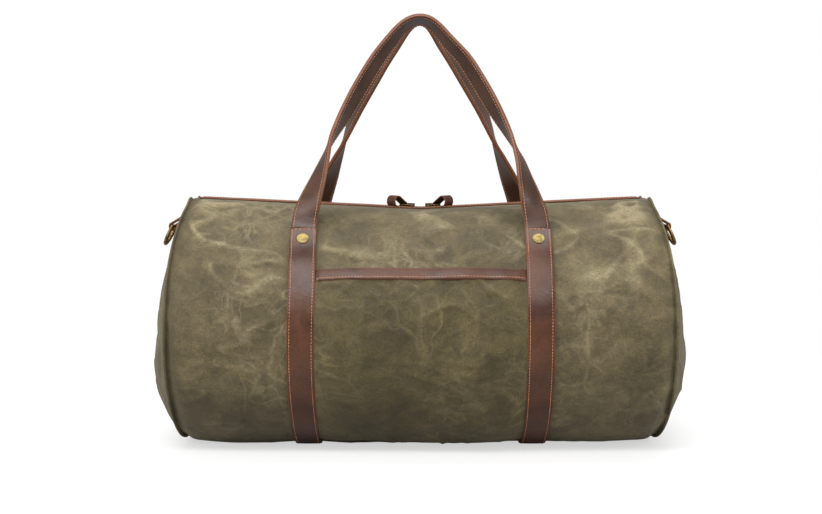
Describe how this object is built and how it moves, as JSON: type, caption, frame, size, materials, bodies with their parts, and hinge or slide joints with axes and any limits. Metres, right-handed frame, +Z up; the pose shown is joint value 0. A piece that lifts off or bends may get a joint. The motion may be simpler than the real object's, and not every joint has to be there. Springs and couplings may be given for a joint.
{
  "type": "weekender bag",
  "caption": "Barrel-shaped waxed canvas weekender bag with leather straps, two standing carry handles, a two-slider top zip, a front slip pocket and a ring at each end.",
  "frame": {"origin": "on the floor, under the middle of the bag", "axes": "+X along the bag, the pocket faces -Y, +Z up"},
  "size_m": [0.54, 0.286, 0.433],
  "materials": {
    "canvas": "waxed cotton canvas, matt with pale creases",
    "leather": "oiled brown leather, soft sheen, contrast stitching",
    "brass": "antique brass, brushed",
    "zip_brass": "dark antique brass",
    "zip_tape": "woven cotton tape"
  },
  "bodies": {
    "bag": {"body_shell": "canvas", "end_panel_left": "canvas", "end_panel_right": "canvas", "front_pocket": "canvas", "pocket_trim": "leather", "strap_left": "leather", "strap_right": "leather", "handle_tabs_front": "leather", "handle_tabs_back": "leather", "rivet_caps_front": "brass", "rivet_caps_back": "brass", "rivet_backs": "brass", "zip_tape_front": "zip_tape", "zip_tape_back": "zip_tape", "zip_teeth_front": "zip_brass", "zip_teeth_back": "zip_brass", "zip_facing_front": "leather", "zip_facing_back": "leather", "zip_stop_left": "zip_brass", "zip_stop_right": "zip_brass", "ring_loop_left": "leather", "ring_loop_right": "leather"},
    "handle_front": {"handle_front": "leather"},
    "handle_back": {"handle_back": "leather"},
    "zip_slider_left": {"zip_slider_left": "zip_brass"},
    "zip_slider_right": {"zip_slider_right": "zip_brass"},
    "pull_left": {"pull_link_left": "zip_brass", "pull_tab_left": "leather"},
    "pull_right": {"pull_link_right": "zip_brass", "pull_tab_right": "leather"},
    "d_ring_left": {"d_ring_left": "brass"},
    "d_ring_right": {"d_ring_right": "brass"}
  },
  "joints": [
    {"name": "handle_front_fold", "type": "hinge", "parent": "bag", "child": "handle_front", "pos_m": [0, -0.092, 0.224], "axis": [1, 0, 0], "range_deg": [0, 108]},
    {"name": "handle_back_fold", "type": "hinge", "parent": "bag", "child": "handle_back", "pos_m": [0, 0.092, 0.224], "axis": [-1, 0, 0], "range_deg": [0, 108]},
    {"name": "slider_left_travel", "type": "slide", "parent": "bag", "child": "zip_slider_left", "axis": [-0.9988, 0, 0.0482], "range_m": [0, 0.2035]},
    {"name": "slider_right_travel", "type": "slide", "parent": "bag", "child": "zip_slider_right", "axis": [0.9988, 0, 0.0482], "range_m": [0, 0.2035]},
    {"name": "pull_left_swing", "type": "hinge", "parent": "zip_slider_left", "child": "pull_left", "pos_m": [-0.00884, 0, 0.23963], "axis": [0, 1, 0], "range_deg": [0, 86]},
    {"name": "pull_right_swing", "type": "hinge", "parent": "zip_slider_right", "child": "pull_right", "pos_m": [0.00884, 0, 0.23963], "axis": [0, -1, 0], "range_deg": [0, 86]},
    {"name": "ring_left_swing", "type": "hinge", "parent": "bag", "child": "d_ring_left", "pos_m": [-0.25209, 0, 0.21819], "axis": [0, 1, 0], "range_deg": [0, 150]},
    {"name": "ring_right_swing", "type": "hinge", "parent": "bag", "child": "d_ring_right", "pos_m": [0.25209, 0, 0.21819], "axis": [0, -1, 0], "range_deg": [0, 150]}
  ]
}
